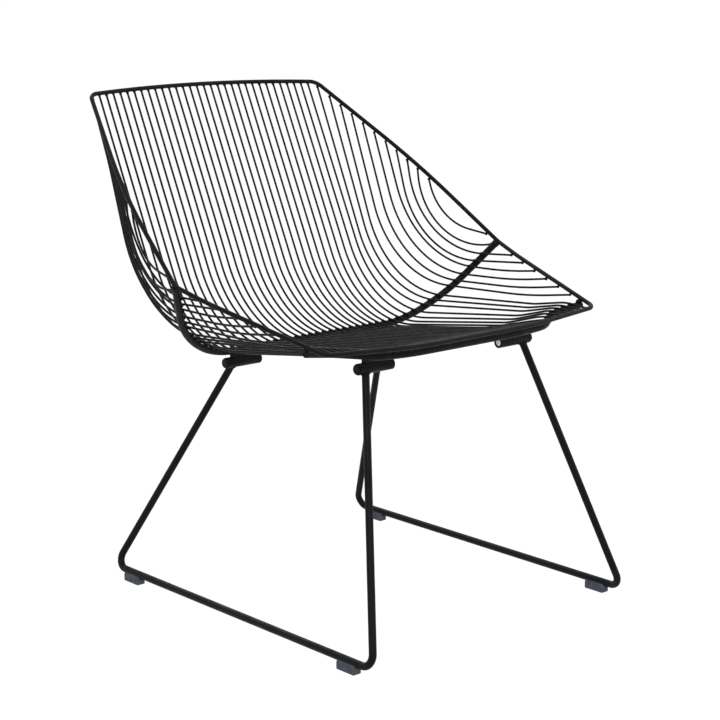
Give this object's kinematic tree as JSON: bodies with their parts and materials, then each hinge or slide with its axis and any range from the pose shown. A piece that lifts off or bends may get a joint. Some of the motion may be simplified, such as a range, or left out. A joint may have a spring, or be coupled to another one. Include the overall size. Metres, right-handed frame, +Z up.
{
  "type": "wire mesh lounge chair",
  "caption": "Low lounge chair with a bucket of parallel bent wires inside a rod rim, on two bent-rod sled legs bolted on through short sleeves.",
  "frame": {"origin": "on the floor, under the middle of the whole chair's box", "axes": "+Z up, the sitter faces -Y, -X is the sitter's right; the chair is mirrored about X = 0"},
  "size_m": [0.6546, 0.6939, 0.7551],
  "materials": {
    "black_powder_coat": "satin black powder coat on welded steel rod and wire",
    "zinc_steel": "zinc plated steel",
    "cap_plastic": "black moulded plastic",
    "foot_rubber": "dark blue-grey moulded rubber"
  },
  "bodies": {
    "root": {"bolt_washers": "zinc_steel", "bracket_bolts": "zinc_steel", "foot_front_left": "foot_rubber", "foot_front_right": "foot_rubber", "foot_rear_left": "foot_rubber", "foot_rear_right": "foot_rubber", "front_cross_rod": "black_powder_coat", "rear_cross_rod": "black_powder_coat", "saddle_front_left": "black_powder_coat", "saddle_front_right": "black_powder_coat", "saddle_rear_left": "black_powder_coat", "saddle_rear_right": "black_powder_coat", "seat_rim": "black_powder_coat", "sled_leg_left": "black_powder_coat", "sled_leg_right": "black_powder_coat", "sleeve_caps": "cap_plastic", "sleeve_collars": "black_powder_coat", "sleeve_front_left": "black_powder_coat", "sleeve_front_right": "black_powder_coat", "sleeve_rear_left": "black_powder_coat", "sleeve_rear_right": "black_powder_coat", "wire_middle": "black_powder_coat", "wire_pair_01": "black_powder_coat", "wire_pair_02": "black_powder_coat", "wire_pair_03": "black_powder_coat", "wire_pair_04": "black_powder_coat", "wire_pair_05": "black_powder_coat", "wire_pair_06": "black_powder_coat", "wire_pair_07": "black_powder_coat", "wire_pair_08": "black_powder_coat", "wire_pair_09": "black_powder_coat", "wire_pair_10": "black_powder_coat", "wire_pair_11": "black_powder_coat", "wire_pair_12": "black_powder_coat", "wire_pair_13": "black_powder_coat", "wire_pair_14": "black_powder_coat", "wire_pair_15": "black_powder_coat", "wire_pair_16": "black_powder_coat", "wire_pair_17": "black_powder_coat", "wire_pair_18": "black_powder_coat", "wire_pair_19": "black_powder_coat", "wire_pair_20": "black_powder_coat", "wire_pair_21": "black_powder_coat", "wire_pair_22": "black_powder_coat", "wire_pair_23": "black_powder_coat", "wire_pair_24": "black_powder_coat", "wire_pair_25": "black_powder_coat", "wire_pair_26": "black_powder_coat"}
  },
  "joints": []
}
